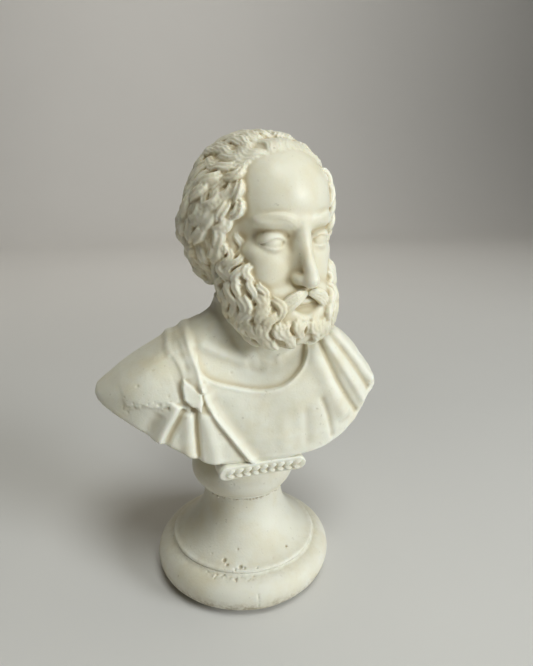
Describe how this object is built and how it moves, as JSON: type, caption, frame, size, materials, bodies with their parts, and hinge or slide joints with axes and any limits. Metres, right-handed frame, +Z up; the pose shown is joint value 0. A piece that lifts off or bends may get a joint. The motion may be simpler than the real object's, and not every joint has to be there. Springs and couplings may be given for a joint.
{
  "type": "marble bust",
  "caption": "Desk-size marble bust of a bearded man with a draped torso, on a round turned socle with a rounded base disc and a small bead ornament tablet.",
  "frame": {"origin": "centre of the resting face, under the felt pad, on the socle's axis", "axes": "+Z up, -Y the way the chest faces, +X towards the sitter's left shoulder"},
  "size_m": [0.0882, 0.06, 0.1459],
  "materials": {
    "head_marble": "honed, faintly waxy, warm ivory",
    "bust_marble": "honed, warm white",
    "socle_marble": "honed, chalky, with pinholes",
    "cement": "rough, cream",
    "felt": "matt felt",
    "brass": "drawn",
    "steel": "zinc plated"
  },
  "bodies": {
    "root": {"felt_pad": "felt", "base_disc": "socle_marble", "foot_cement": "cement", "socle_stem": "socle_marble", "waist_cement": "cement", "socle_cap": "socle_marble", "bust_cement": "cement", "torso": "bust_marble", "ornament_tablet": "bust_marble", "neck_cement": "cement", "neck_dowel": "brass", "head": "head_marble", "tie_rod": "steel", "washer": "steel", "nut": "steel"}
  },
  "joints": []
}
